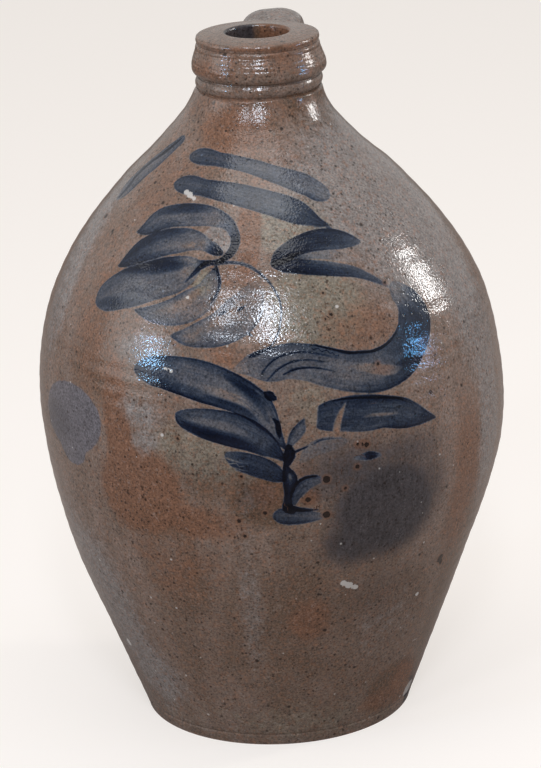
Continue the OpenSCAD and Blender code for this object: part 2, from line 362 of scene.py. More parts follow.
# The side away from the photograph, by turn in degrees from the front and height in millimetres
back_patches = {
    "film": {
        "behind": (150, 240, 70, 70, 10, 0.8, 0.7), "at the left back": (262, 110, 50, 70, 0, 0.8, 0.7)},
    "rust": {
        "on the back": (205, 300, 60, 30, 0, 0.7, 0.8),
        "low at the back": (175, 100, 60, 50, -15, 0.8, 0.7),
        "at the left back": (285, 270, 50, 40, 20, 0.6, 0.8),
        "beside the second kiss": (118, 190, 20, 60, 0, 0.7, 0.8)},
    "olive": {
        "at the back": (225, 180, 70, 60, 0, 0.7, 0.8), "low at the right": (110, 70, 60, 40, 0, 0.7, 0.8)},
    "smoke": {
        "second kiss": (138, 185, 24, 27, 0, 0.7, 0.12), "at the back": (240, 70, 50, 30, 0, 0.5, 0.9)},
    "toast": {
        "low behind": (180, 50, 200, 60, 0, 0.6, 0.8),
        "low at the left back": (270, 60, 120, 60, 0, 0.6, 0.8)},
    "specks": {
        "on the back": (200, 260, 90, 60, 0, 0.8, 0.9), "at the left back": (270, 160, 80, 60, 0, 0.6, 0.9)},
}
tone_names = ["rust", "olive", "film", "smoke", "toast", "specks", "ash"]
wall_slant = 1.15


def lay_tones(co, patches):
    """Strength of every tone at each point, from soft oval patches: tone, turn, height and the rest."""
    tones = np.zeros((len(co), len(tone_names)))
    turns, reach = turn_of(co), np.hypot(co[:, 0], co[:, 1])
    for tone, turn, height, wide, tall, tilt, strength, soft in patches:
        across = (np.mod(turns - turn + math.pi, 2 * math.pi) - math.pi) * reach * 1000
        up = (co[:, 2] - height) * 1000 * wall_slant
        c, s = math.cos(math.radians(tilt)), math.sin(math.radians(tilt))
        span = np.hypot((across * c + up * s) / wide, (up * c - across * s) / tall)
        share = np.clip((1 + soft - span) / (2 * soft), 0, 1)
        channel = tone_names.index(tone)
        weight = strength * share * share * (3 - 2 * share)
        tones[:, channel] = np.maximum(tones[:, channel], weight)
    return tones


all_patches = []
for tone, patches in front_patches.items():
    for px, py, *rest in patches.values():
        place, _ = on_wall(px, py)
        all_patches.append((tone, float(turn_of(np.array(place))), place.z, *rest))
for tone, patches in back_patches.items():
    for turn, height, *rest in patches.values():
        all_patches.append((tone, math.radians(turn), height / 1000, *rest))


def paint(piece, name, channels):
    """Stores up to four numbers at each point of a piece, for its material to read."""
    values = np.zeros((len(piece.data.vertices), 4), np.float32)
    values[:, :channels.shape[1]] = channels
    layer = piece.data.attributes.new(name, "FLOAT_COLOR", "POINT")
    layer.data.foreach_set("color", values.ravel())


def paint_tones(piece, tones):
    paint(piece, "glaze_tone", tones[:, :4])
    paint(piece, "glaze_more", tones[:, 4:])


body_co = points_of(body)
facing_in = -0.002
inside = np.array([v.normal.xy.dot(v.co.xy) < facing_in for v in body.data.vertices])
body_tones = lay_tones(body_co, all_patches)
body_tones[inside] = [tone == "toast" for tone in tone_names]
# Inside the mouth the clay is toasted, darkened on the left with the smoke tone as painted shade, and reddish
# on the right
rightward = body_co[inside] @ right_way / mouth_r * 2
body_tones[inside, tone_names.index("smoke")] = np.clip(0.1 - rightward, 0, 1) * 2
body_tones[inside, tone_names.index("rust")] = np.clip(rightward + 0.2, 0, 1) * 1.4
paint_tones(body, body_tones)

# Brushwork
# A flower, leaves and curls in cobalt slip, brushed free hand before the firing. Each stroke is
# a row of places in pixels: (x, y, half its width), then how loaded the left hairs, the middle
# and the right hairs of the brush are, seen along the stroke.
strokes = {
    "bar_upper": (0, [
        (193, 156, 4, 0.7, 0.65, 0.8), (198, 156, 7, 0.75, 0.7, 0.85), (219, 159.5, 7.2, 0.75, 0.6, 0.8),
        (241, 164, 7.3, 0.75, 0.62, 0.85), (279, 175.5, 8.8, 0.65, 0.54, 0.85),
        (308, 186, 10, 0.45, 0.42, 0.75), (322, 193, 7, 0.35, 0.35, 0.65), (326, 194, 3, 0.3, 0.3, 0.4)]),
    "bar_lower": (0, [
        (178, 183, 4, 0.7, 0.65, 0.8), (181, 183.5, 6.5, 0.75, 0.65, 0.8), (205, 188, 8.5, 0.85, 0.7, 0.9),
        (231, 193, 10.5, 0.85, 0.64, 0.9), (269, 202.5, 12, 0.8, 0.6, 0.8),
        (298, 212.5, 11.5, 0.9, 0.68, 0.8), (316, 221, 5, 1, 0.9, 0.7), (329, 226, 1, 1, 1, 1)]),
    "side_leaf": (0, [
        (181, 140, 3, 0.7, 0.6, 0.6), (160, 158, 4.5, 0.7, 0.5, 0.6), (141, 174, 4.5, 0.7, 0.45, 0.5),
        (128, 187, 4, 0.65, 0.4, 0.45), (118, 198, 1, 0.5, 0.3, 0.3)]),
    "petal_top": (0, [
        (137.5, 232, 1, 1, 1, 1), (148, 227.5, 6, 0.85, 0.75, 1.05), (160, 219.8, 9.6, 0.8, 0.6, 1.05),
        (173, 216, 10.5, 0.85, 0.52, 0.9), (194.5, 215, 11.2, 0.92, 0.48, 0.55),
        (212, 216.8, 9.7, 0.7, 0.4, 0.4), (226.5, 222.8, 7, 1.0, 0.48, 0.45), (234, 233, 5, 1.2, 0.9, 0.6),
        (235.2, 243.5, 4.4, 1.3, 1.25, 1.05), (231, 252.5, 3.9, 1.3, 1.3, 1.2),
        (224, 259, 2.9, 1.3, 1.3, 1.3), (217, 263, 1.8, 1.2, 1.2, 1.2)]),
    "petal_second": (1, [
        (118.8, 266, 1, 1.1, 1.1, 1.1), (130.5, 258.5, 6.3, 0.85, 0.9, 1.1),
        (142, 251, 10, 0.85, 0.72, 1.05), (157, 244.8, 12, 0.9, 0.58, 0.9),
        (175.7, 241, 12.4, 0.85, 0.5, 0.6), (194.5, 240.6, 10, 0.6, 0.42, 0.4),
        (206.5, 244.8, 6.6, 0.5, 0.4, 0.5), (214, 249.3, 5.8, 1.1, 1.1, 1),
        (219.5, 252.5, 3.5, 1.3, 1.3, 1.2), (222.5, 254, 1, 1.3, 1.3, 1.3)]),
    "petal_third": (2, [
        (98, 300, 3, 0.6, 0.6, 0.8), (106, 296, 11, 0.62, 0.6, 0.95), (123, 289, 17.3, 0.85, 0.55, 0.85),
        (141, 282.8, 19.5, 1.1, 0.5, 0.6), (160, 277.8, 19.5, 1.1, 0.46, 0.5),
        (175, 274.4, 17.6, 0.95, 0.4, 0.45), (187, 269.4, 12.6, 0.5, 0.3, 0.5),
        (197, 265, 5.2, 0.8, 0.6, 0.8), (208, 262.3, 2, 1, 1, 1), (216, 262.5, 1, 1, 1, 1)]),
    "petal_fourth": (1, [
        (134.9, 309.8, 1, 0.9, 0.9, 0.9), (147.5, 313, 6.8, 0.72, 0.46, 0.85),
        (162, 313.5, 11.2, 0.62, 0.38, 0.75), (178, 310.5, 14.2, 0.52, 0.34, 0.62),
        (191, 305, 15.4, 0.5, 0.3, 0.45), (204, 296, 12.8, 0.45, 0.26, 0.34),
        (211.5, 280, 7.4, 0.4, 0.24, 0.5), (216, 267, 1.5, 0.8, 0.8, 0.8)]),
    "petal_fifth": (0, [
        (170.4, 335.3, 1, 0.8, 0.8, 0.8), (184, 337, 7.8, 0.6, 0.38, 0.7),
        (204, 333.8, 14, 0.48, 0.34, 0.68), (224, 327, 17.6, 0.4, 0.32, 0.56),
        (240, 315, 19.4, 0.34, 0.3, 0.42), (251, 298, 13, 0.28, 0.28, 0.28), (255, 284, 4, 0.2, 0.2, 0.2)]),
    "curl_top": (0, [
        (274, 263.5, 3.5, 1.1, 1.15, 1.1), (281, 257, 8, 1.1, 1.15, 1.1), (291, 249.5, 9, 1.1, 1.1, 1.1),
        (305, 243.2, 9.9, 1.1, 1.05, 0.9), (322, 239.5, 10.8, 1.1, 1, 0.75),
        (340, 239.5, 9.1, 1, 0.85, 0.62), (352, 240.6, 5.2, 0.85, 0.7, 0.55),
        (359, 241.5, 2, 0.5, 0.5, 0.45)]),
    "curl_under": (1, [
        (275, 264.5, 4, 1.1, 1.15, 1.15), (284, 265, 7, 1.1, 1.15, 1.15), (297, 266, 7.5, 1, 1.15, 1.2),
        (311, 267.3, 7.6, 0.6, 1.05, 1.2), (326, 268.3, 7.4, 0.4, 0.95, 1.15),
        (341, 270, 6.6, 0.38, 0.82, 1.05), (355, 272, 5.3, 0.45, 0.75, 0.95),
        (367, 276, 3.8, 0.5, 0.7, 0.85), (378, 280.8, 2.7, 0.5, 0.6, 0.7), (386, 285.2, 1.4, 0.4, 0.5, 0.5),
        (391, 288.5, 0.6, 0.3, 0.3, 0.3)]),
    "curl_gap": (3, [
        (290, 257, 3, 0.9, 0.9, 0.9), (302, 255, 4.5, 0.55, 0.5, 0.55), (318, 254, 5, 0.36, 0.32, 0.36),
        (336, 255.5, 5, 0.26, 0.22, 0.26), (350, 259, 3, 0.16, 0.14, 0.16), (358, 262, 1, 0.1, 0.1, 0.1)]),
    "curl_bend": (2, [
        (397, 289, 7, 0.3, 0.3, 0.35), (400.5, 293.5, 9.5, 0.4, 0.32, 0.42),
        (408.5, 301.7, 11.8, 0.85, 0.62, 0.62), (415, 318, 15.4, 1.05, 0.82, 0.8),
        (413.8, 332, 16.3, 1.15, 0.9, 0.85), (408.5, 345.5, 17.7, 1.15, 0.88, 0.8),
        (397, 360.7, 20.3, 1.08, 0.68, 0.78), (380, 369.7, 21.5, 0.98, 0.46, 0.78),
        (356, 372, 20.5, 0.72, 0.42, 0.78), (331.5, 368, 19.8, 0.5, 0.46, 0.74),
        (310, 363, 19, 0.42, 0.5, 0.68), (289, 361, 18, 0.42, 0.52, 0.66),
        (268, 365.5, 16.5, 0.45, 0.5, 0.55), (256, 365, 13, 0.38, 0.4, 0.42), (246, 367, 8, 0.3, 0.3, 0.3),
        (236, 370, 3, 0.2, 0.2, 0.2)]),
    "leaf_a": (0, [
        (135.2, 369, 2, 0.9, 0.9, 0.9), (141, 369.5, 8, 0.85, 0.9, 1.05),
        (150, 370.5, 13.4, 0.75, 0.78, 1.1), (165, 372.5, 16.5, 0.75, 0.66, 1.15),
        (185, 377, 19.4, 0.8, 0.54, 1.2), (205, 382.7, 20.6, 0.85, 0.52, 1.2),
        (225, 389.5, 19.2, 1, 0.46, 1.1), (243, 398, 17.5, 1.15, 0.5, 0.8), (258, 408, 15.5, 1, 0.56, 0.66),
        (268, 421, 11, 0.75, 0.5, 0.7), (277, 435, 5.5, 1.1, 0.6, 0.7), (283, 445, 3, 1, 0.9, 0.9),
        (286, 449.5, 1.5, 1.2, 1.2, 1.2)]),
    "leaf_b": (1, [
        (176.5, 414, 1.5, 0.8, 0.8, 1), (184, 418.5, 8.6, 0.75, 0.72, 1.1),
        (198, 422, 13.2, 0.8, 0.56, 1.05), (215, 426, 16.2, 0.86, 0.62, 1.08),
        (235, 431, 17, 0.9, 0.64, 1.02), (252, 437, 15, 0.88, 0.72, 0.92), (266, 445, 11.5, 0.9, 0.8, 0.85),
        (277, 453, 6, 1, 1, 1), (285, 460, 2, 1.2, 1.2, 1.2)]),
    "leaf_c": (2, [
        (229, 456, 4.5, 0.55, 0.65, 0.55), (238, 460.5, 9, 0.72, 0.8, 0.95),
        (250, 464, 10.5, 0.85, 0.82, 1), (264, 469, 10.5, 0.9, 0.82, 0.9), (276, 474.5, 8, 0.9, 0.9, 0.9),
        (284, 479, 3, 1.1, 1.1, 1.1)]),
    "leaf_small": (2, [
        (288, 448, 2, 0.9, 0.7, 0.6), (292, 441, 4.5, 0.95, 0.55, 0.5),
        (297.5, 432.5, 6.3, 0.92, 0.48, 0.5), (302, 426, 5, 0.85, 0.5, 0.6), (304, 420, 1.8, 0.8, 0.7, 0.7)]),
    "stem": (3, [
        (289, 447, 3, 1.35, 1.35, 1.35), (289.5, 454, 6, 1.4, 1.4, 1.4), (287.5, 462, 4, 1.35, 1.35, 1.35),
        (285.8, 467, 3, 1.3, 1.3, 1.3), (287.5, 472, 5, 1.35, 1.1, 1.35), (290, 479, 7.5, 1.4, 0.8, 1.4),
        (289.5, 487, 6, 1.4, 1.2, 1.4), (288.5, 494, 4.2, 1.3, 1.3, 1.3), (287.3, 502, 4, 1.25, 1.2, 1.25),
        (288, 508, 5.5, 1.3, 1.2, 1.3), (292, 511, 3.5, 1, 1, 1)]),
    "curl_foot": (2, [
        (293.5, 503, 3, 1, 0.7, 0.6), (298, 492, 6.5, 1, 0.7, 0.55), (304.5, 485, 7, 1.05, 0.62, 0.5),
        (312, 481.5, 5.5, 1.05, 0.58, 0.45), (318.5, 480, 4, 0.9, 0.5, 0.4)]),
    "foot": (0, [
        (276.5, 515.9, 3, 0.9, 0.9, 0.9), (281, 516, 7, 0.9, 0.72, 1), (290, 516.5, 8.5, 0.8, 0.65, 1.05),
        (302, 516.8, 7, 0.72, 0.6, 0.95), (314, 516.5, 5, 0.55, 0.48, 0.7), (323, 516, 2.5, 0.3, 0.3, 0.3)]),
    "leaf_d": (0, [
        (324, 417, 13, 0.85, 0.8, 0.75), (332, 416, 15.5, 0.92, 0.76, 0.7),
        (345, 414.5, 16.8, 1, 0.76, 0.66), (365, 414, 17.5, 1.12, 0.76, 0.68),
        (385, 412.3, 15.7, 1.08, 0.66, 0.9), (402, 413, 15.6, 1, 0.72, 1.15),
        (417, 415, 10.5, 0.8, 0.78, 1.15), (428, 416.5, 5, 0.9, 1, 1.1), (435, 417, 1.2, 1, 1, 1)]),
    "faint_leaf": (3, [
        (302, 461, 3, 0.2, 0.16, 0.14), (311, 451, 7, 0.26, 0.18, 0.14), (323, 445.5, 8, 0.26, 0.17, 0.12),
        (336, 442.5, 6, 0.2, 0.13, 0.1), (347, 441, 2, 0.12, 0.1, 0.08)]),
    "smudge": (1, [
        (355, 458, 2, 0.2, 0.25, 0.2), (362, 457, 3.4, 0.4, 0.55, 0.4), (370, 455.5, 4.4, 0.85, 1.15, 0.85),
        (375, 455, 3.4, 0.7, 1, 0.7), (380, 455, 2, 0.2, 0.3, 0.2)]),
}
layer_count = 4
# Thin lines of the same brush: (x, y, half width, load) along each, kept apart in their layers
fine_lines = {
    "hook_tail": (0, [
        (224, 259, 2.2, 1.1), (215, 262.3, 2.4, 1.15), (206, 264, 2.8, 1.15), (198.5, 268.8, 2.4, 1),
        (192, 275.5, 1.6, 0.85), (185, 282, 0.9, 0.5)]),
    "edge_fourth": (0, [
        (216.8, 268.5, 1.2, 1.1), (219, 277, 1.5, 1), (219.6, 286, 1.5, 0.8), (216.5, 294, 1.2, 0.6),
        (210, 305, 1, 0.4)]),
    "flower_arc": (1, [
        (217, 263.5, 1.6, 0.9), (230.6, 262.5, 1.7, 0.72), (248, 265.8, 1.6, 0.72),
        (260.1, 273.7, 1.2, 0.85), (268, 281, 0.9, 0.9), (275, 290.5, 0.8, 0.95), (280.2, 302.4, 0.8, 0.95),
        (281, 317.9, 0.8, 0.95), (277.7, 333.9, 0.9, 0.9), (270.8, 346, 1, 0.9), (262, 351.5, 1.8, 0.95),
        (255, 354.5, 2.6, 1), (250, 357, 1.2, 0.8)]),
    "flower_blot_low": (0, [(219.5, 314.7, 1, 0.9), (222.6, 313.2, 1.7, 1.1), (225.5, 311.8, 0.9, 0.9)]),
    "flower_blot_high": (0, [(238.8, 310, 1.1, 0.9), (241.3, 308.3, 1.9, 1.1), (244, 306.3, 1, 0.8)]),
    "flower_blot_right": (0, [(247.3, 333, 0.9, 0.8), (249.4, 334.2, 1.6, 1), (252, 335.4, 0.8, 0.8)]),
    "band_edge": (0, [
        (314, 344.6, 0.9, 0.8), (331.7, 349, 1.3, 1), (347, 352.4, 1.5, 1.05), (361, 352, 1.5, 1.05),
        (376.5, 349.8, 1.5, 1), (388.3, 342.6, 1.2, 0.9), (396, 333, 0.8, 0.6)]),
    "band_line_high": (0, [
        (262, 373, 0.8, 0.6), (271, 362, 1.1, 0.8), (285, 354.5, 1.2, 0.85), (302, 352, 1.1, 0.8),
        (320, 354.2, 1, 0.6), (338, 358, 0.8, 0.4)]),
    "band_line_middle": (1, [
        (267, 381, 0.8, 0.5), (277, 370, 1.1, 0.8), (290, 362.5, 1.2, 0.8), (306, 359.8, 1, 0.7),
        (324, 362, 0.9, 0.5)]),
    "band_line_low": (0, [
        (283.5, 374.6, 0.9, 0.8), (294, 369.5, 1.3, 1), (307, 367.6, 1.1, 0.9), (321, 368.5, 0.9, 0.7),
        (335, 371.5, 0.7, 0.4)]),
    "ring_blot": (1, [(266, 393.4, 3, 1.2), (270, 396, 5, 1.35), (274.4, 398.6, 2.8, 1.2)]),
    "leaf_a_crescent": (0, [
        (273, 418.5, 0.8, 0.8), (277.5, 423.5, 2.6, 1.3), (278.6, 430, 2.9, 1.4), (279.6, 437.5, 1, 1.1)]),
    "twig": (1, [(293.5, 452.8, 1.6, 1.2), (299, 450, 1.2, 1.1), (307, 446.6, 0.9, 1)]),
    "faint_leaf_edge": (1, [
        (313.9, 444, 0.8, 0.6), (319.7, 440.3, 1, 0.65), (328.5, 438.9, 0.9, 0.5), (342, 438, 0.8, 0.3)]),
    "foot_wedge": (1, [
        (286, 506, 2.8, 1.3), (292, 508, 3, 1.35), (298.9, 509.6, 2.3, 1.3), (308, 510, 1.5, 1.2),
        (317.2, 509.7, 0.8, 1)]),
    "curl_foot_edge": (0, [
        (294, 487.5, 1.3, 1.2), (298.5, 481.7, 1.6, 1.25), (304.8, 478, 1.6, 1.25), (311, 476.3, 1.4, 1.1),
        (317, 475.6, 1, 0.9)]),
    "leaf_d_edge": (1, [
        (333, 400.8, 0.8, 0.6), (349, 397.4, 1.7, 0.9), (365, 396.6, 2, 0.95), (385, 396.8, 1.9, 0.95),
        (400, 398.4, 1.4, 0.85), (412, 403, 0.8, 0.6)]),
    "side_leaf_rib": (1, [
        (181, 139, 0.9, 0.8), (165, 152, 1.1, 1), (150, 163, 1, 0.9), (137, 175, 0.9, 0.8),
        (128, 187, 0.9, 0.7), (119, 197, 0.8, 0.6)]),
    "dent_edge": (1, [(411, 677, 0.9, 1.1), (410, 684, 1.3, 1.3), (405.5, 697, 1, 1.1)]),
}
line_layer_count = 2
# Places inside the strokes where the hairs ran dry or a drop of glaze kept the cobalt off
dry_lines = {
    "gap in the right leaf": [
        (345.3, 403.5, 0.8, 1), (342, 411, 2.6, 1), (338.5, 420, 3.6, 1), (336, 434, 4.4, 1)],
    "cut end of the right leaf": [
        (317, 399, 3.5, 1), (312.5, 408, 6, 1), (311, 422, 6.5, 1), (313, 436, 4, 1)],
    "dry hair in the low leaf": [(226, 458, 1, 1), (236, 461.5, 1, 0.8), (247, 464, 0.6, 0.4)],
    "dry hair under it": [(229, 467, 1.2, 1), (240, 469.5, 1, 0.8), (250, 471.5, 0.6, 0.4)],
    "dry hairs in the right leaf": [
        (364, 417, 1, 0.5), (374, 414.8, 1.9, 0.75), (386, 414.2, 2, 0.75), (398, 412.6, 1, 0.5)],
    "island in the bend": [
        (352, 366, 2, 0.3), (364, 367.5, 4.5, 0.65), (380, 369.5, 6, 0.75), (395, 369.5, 4.6, 0.7),
        (402, 367, 1.5, 0.4)],
    "gap under the second petal": [
        (116, 271, 0.7, 1), (134, 265.3, 0.9, 1), (157, 258.6, 0.9, 0.9), (171, 255.4, 0.9, 0.7),
        (190, 253.4, 0.9, 0.5)],
    "light stripe in the upper leaf": [
        (178, 380, 1.5, 0.2), (200, 387, 3, 0.35), (222, 394, 4.4, 0.6), (240, 400.5, 4.4, 0.65),
        (252, 409, 2, 0.3)],
    "light stripe in the left leaf": [
        (193, 419.5, 2, 0.2), (212, 423, 4, 0.35), (232, 428, 4, 0.35), (247, 434, 2, 0.2)],
    "heart of the knot": [(289.5, 474.5, 0.8, 0.4), (290.3, 478, 2.2, 0.55), (290.6, 481.5, 0.8, 0.4)],
}
# Marks of the firing: the pixel of the middle and the radius in pixels
dark_marks = {
    "blister by the foot curl": (326.5, 479.3, 3.6), "blister by the foot": (326.5, 514.6, 3.4),
    "pit in the foot curl": (308, 499.7, 2.6), "pit under the leaf": (357.4, 466.6, 2.2),
    "crack under the leaf": (357.9, 444, 1.6), "red pit under the leaf": (366.7, 444.6, 2.6),
    "pit in the cloud": (345.4, 488, 1.6), "flaw at the right": (440, 558, 2.6),
    "flaw's tail": (440.6, 562, 1.6), "pit in the curl": (331, 314.5, 1.7),
    "pit on the curl's left": (325.5, 319, 1.3), "pit in the olive": (323, 293, 1.2),
    "pit over the curl": (385, 282.4, 1.5), "pit in the band": (378, 363.8, 1.6),
    "pit low at the left": (177.5, 438.6, 1.5), "pit at the left": (110.5, 330.5, 1.5),
    "pit in the stem field": (265, 513, 1.8), "pit below the foot": (239, 521, 1.9),
    "pit by the leaf": (241.5, 476.5, 1.5), "pit low in the middle": (245, 536, 1.6),
    "pit on the shoulder": (106, 216, 1.5), "chip in the dent": (411, 680, 1.6),
}
# Pale marks in the same form: drips, chips and dust in the glaze, and glints that are painted highlights
pale_marks = {
    "drip, left": (343.5, 583, 2.4), "drip, middle": (349, 585.3, 2.8), "drip, right": (355.5, 587, 2),
    "chip on the shoulder": (186.5, 192, 2.2), "chip beside it": (190, 195, 2.6),
    "end of the chip": (194, 198.6, 1.7), "glint at the left": (162, 435, 1.6),
    "glint low at the left": (129, 642, 1.5), "glint at the right": (417, 594, 1.5),
    "drop in the third petal": (187.5, 297.5, 1.6), "dent in the foot": (407.6, 688, 3),
    "drop in the first leaf": (165, 368.6, 1.4), "drop beside it": (171, 371, 1.8),
    "dust in the curl": (337, 306.5, 1.7),
}
# Where the slip gathered or thinned inside the strokes: (x, y, half width, more or less of it)
pools = {
    "dark of the top petal": [
        (160, 213, 3, 0.3), (172, 210.5, 6, 0.7), (186, 208.5, 7, 0.9), (200, 209, 6, 0.6),
        (210, 211, 3, 0.2)],
    "dark of the second petal": [
        (128, 256, 4, 0.4), (140, 246, 8, 0.6), (154, 238, 8, 0.7), (170, 233.5, 6, 0.6),
        (184, 232, 3, 0.3)],
    "dark of the third petal": [
        (124, 271, 3, 0.3), (134, 268.5, 7, 0.9), (148, 267, 10, 1.05), (163, 266, 11, 1.1),
        (177, 265.5, 8, 0.9), (190, 264.5, 4, 0.4)],
    "low end of the third petal": [
        (98, 303, 6, 0.4), (112, 302, 8, 0.5), (132, 303, 6, 0.4), (146, 301, 3, 0.2)],
    "thin middle of the fourth petal": [(160, 310, 4, -0.1), (180, 304, 9, -0.25), (200, 290, 7, -0.25)],
    "thin middle of the fifth petal": [(196, 331, 5, -0.1), (222, 320, 10, -0.25), (242, 304, 8, -0.2)],
    "light heart of the second petal": [(150, 252, 3, -0.1), (172, 246, 5, -0.3), (192, 244.5, 5, -0.3)],
    "dark of the upper leaf": [
        (226, 376, 4, 0.4), (240, 386, 7, 0.9), (252, 395, 7, 0.9), (262, 407, 6, 0.5), (268, 420, 4, 0.3)],
    "purple under the upper leaf": [
        (205, 396, 3, 0.3), (226, 403, 5, 0.7), (244, 410, 5, 0.6), (256, 420, 3, 0.3)],
    "dark of the left leaf": [
        (184, 423, 4, 0.6), (198, 430, 7, 1.1), (215, 436, 8, 1.2), (234, 441, 8, 1.0), (250, 447, 6, 0.6),
        (264, 453, 3, 0.3)],
    "dark of the bend": [
        (408, 305, 5, 0.2), (418, 320, 8, 0.7), (420, 336, 9, 0.9), (414, 352, 9, 0.9), (402, 366, 8, 0.7),
        (388, 376, 5, 0.3)],
}
stroke_step_px = 1.5
side_limit = 1.3
# How far past its end and its side a thin line reaches before it is narrowed away
astray_free = 0.0005
aside_free = 0.0015


def flow(stations):
    """A smooth run of stations, about one and a half pixels apart, through the given ones."""
    table = np.array(stations, float)
    passed = np.concatenate([[0], np.cumsum(np.hypot(*np.diff(table[:, :2], axis=0).T))])
    steps = np.linspace(0, passed[-1], max(4, int(passed[-1] / stroke_step_px)))
    return np.stack([eased(passed, column)(steps) for column in table.T], axis=1)


def traced(run):
    """Middles, half widths, ways to the left and distances along, for a run on the wall."""
    ways = np.gradient(run[:, :2], axis=0)
    ways /= np.linalg.norm(ways, axis=1)[:, None]
    middles, halves, lefts = [], [], []
    for (px, py, half, *_), (wx, wy) in zip(run, ways):
        place, _ = on_wall(px, py)
        left, _ = on_wall(px + wy * half, py - wx * half)
        right, _ = on_wall(px - wy * half, py + wx * half)
        middles.append(place)
        halves.append((left - right).length / 2)
        lefts.append((left - right).normalized())
    middles = np.array(middles)
    along = np.concatenate([[0], np.cumsum(np.linalg.norm(np.diff(middles, axis=0), axis=1))])
    return middles, np.array(halves), np.array(lefts), along


def near_parts(middles, near, margin=0.02, batch=2000):
    """The points close to a run, a few thousand at a time."""
    held = (near > middles.min(0) - margin) & (near < middles.max(0) + margin)
    chosen = np.flatnonzero(np.all(held, axis=1))
    return np.array_split(chosen, max(1, len(chosen) // batch))


def brush(layer, stations, near):
    """Lays one stroke into a layer: how deep a point lies in it, across, along, and its load."""
    run = flow(stations)
    middles, halves, lefts, along = traced(run)
    for part in near_parts(middles, near):
        gaps = near[part][:, None, :] - middles[None]
        depth = halves[None] - np.linalg.norm(gaps, axis=2)
        best = depth.argmax(1)
        each = np.arange(len(part))
        deep = depth[each, best]
        side = np.einsum("ij,ij->i", gaps[each, best], lefts[best]) / np.maximum(halves[best], 1e-4)
        side = np.clip(side, -side_limit, side_limit)
        weight = np.clip(side, -1, 1)
        left, middle, right = run[best, 3], run[best, 4], run[best, 5]
        load = middle + (np.where(weight > 0, left, right) - middle) * weight**2
        better = deep > layer[part, 0]
        layer[part[better]] = np.stack([deep, side, along[best], load], axis=1)[better]


def draw_fine(layer, stations, near):
    """Lays one thin line into a layer: how far a point lies across it, half width, along, and load."""
    run = flow(stations)
    middles, halves, lefts, along = traced(run)
    for part in near_parts(middles, near):
        gaps = near[part][:, None, :] - middles[None]
        best = np.linalg.norm(gaps, axis=2).argmin(1)
        gap = gaps[np.arange(len(part)), best]
        across = np.einsum("ij,ij->i", gap, lefts[best])
        astray = np.sqrt(np.maximum((gap**2).sum(1) - across**2, 0))
        half = halves[best] - 1.5 * np.maximum(astray - astray_free, 0)
        half -= 2 * np.maximum(np.abs(across) - 1.2 * halves[best] - aside_free, 0)
        better = half - np.abs(across) > layer[part, 1] - np.abs(layer[part, 0])
        layer[part[better]] = np.stack([across, half, along[best], run[best, 3]], axis=1)[better]


outside_front = np.flatnonzero(~inside & (np.abs(turn_of(body_co) - front_turn) < front_half * 1.05))
front_co = body_co[outside_front]
# What is stored where nothing is drawn: far outside any stroke, line or mark
no_stroke = [-0.05, 0.0, 0.0, 0.0]
no_line = [0.01, -0.05, 0.0, 0.0]
no_mark = [0.05, 0.0, 0.0, 0.0]


def lay_layer(name, lay, runs, empty):
    """Lays the runs of one layer on the front, in their order, and stores it under its name."""
    values = np.tile(empty, (len(body_co), 1))
    front = values[outside_front]
    for stations in runs:
        lay(front, stations, front_co)
    values[outside_front] = front
    paint(body, name, values)


def of_layer(drawn, number):
    return [stations for layer, stations in drawn.values() if layer == number]


for number in range(layer_count):
    lay_layer(f"brush_{number}", brush, of_layer(strokes, number), no_stroke)
for number in range(line_layer_count):
    lay_layer(f"line_{number}", draw_fine, of_layer(fine_lines, number), no_line)
lay_layer("dry", draw_fine, dry_lines.values(), no_line)
lay_layer("pool", draw_fine, pools.values(), no_line)


def lay_marks(name, marks):
    """Stores at each point of the front the way to the nearest mark, and its radius."""
    middles = np.array([on_wall(px, py)[0] for px, py, _ in marks.values()])
    radii = np.array([(on_wall(px, py + r)[0] - on_wall(px, py)[0]).length for px, py, r in marks.values()])
    ways = front_co[:, None, :] - middles[None]
    best = (np.linalg.norm(ways, axis=2) - radii[None]).argmin(1)
    values = np.tile(no_mark, (len(body_co), 1))
    values[outside_front, :3] = ways[np.arange(len(best)), best]
    values[outside_front, 3] = radii[best]
    paint(body, name, values)


lay_marks("dark_marks", dark_marks)
lay_marks("pale_marks", pale_marks)


# Glaze
# Salt thrown into the hot kiln leaves a thin, pitted glass over the clay. Its colour runs from
# rust through olive and grey film to smoke, with iron specks burnt through from the clay.
def tint(red, green, blue):
    """A colour written in display values from 0 to 255, as the shader wants it."""
    shares = [c / 255 for c in (red, green, blue)]
    return (*[c / 12.92 if c < 0.04045 else ((c + 0.055) / 1.055) ** 2.4 for c in shares], 1)


# The film tint also stands for painted sheen, and the smoke and toast tints for painted shade, in the patches
# that say so
clay_tint = tint(131, 111, 99)
clay_dim_tint = tint(119, 99, 86)
toast_tint = tint(96, 74, 58)
olive_tint = tint(130, 121, 106)
rust_tint = tint(121, 84, 63)
film_tint = tint(133, 125, 120)
flush_tint = tint(141, 98, 74)
smoke_tint = tint(58, 56, 60)
ash_tint = tint(101, 98, 103)
iron_tint = tint(34, 24, 20)
pale_tint = tint(212, 204, 196)
blister_tint = tint(22, 16, 15)
# Cobalt from a thin wash to a thick pool: how much is laid, and its colour there
cobalt_full = 3
cobalt_density = (3.6, 3.1, 2.6)
cobalt_wash = {0: (98, 99, 106), 0.08: (90, 93, 102), 0.15: (80, 84, 94), 0.22: (68, 72, 83),
               0.3: (53, 60, 73), 0.4: (38, 46, 61), 0.5: (26, 35, 51), 0.62: (16, 24, 41),
               0.8: (9, 16, 31), 1: (5, 9, 20)}
# A thin line shows this many widths of a brush's hairs in a metre across
line_side_scale = 300.0


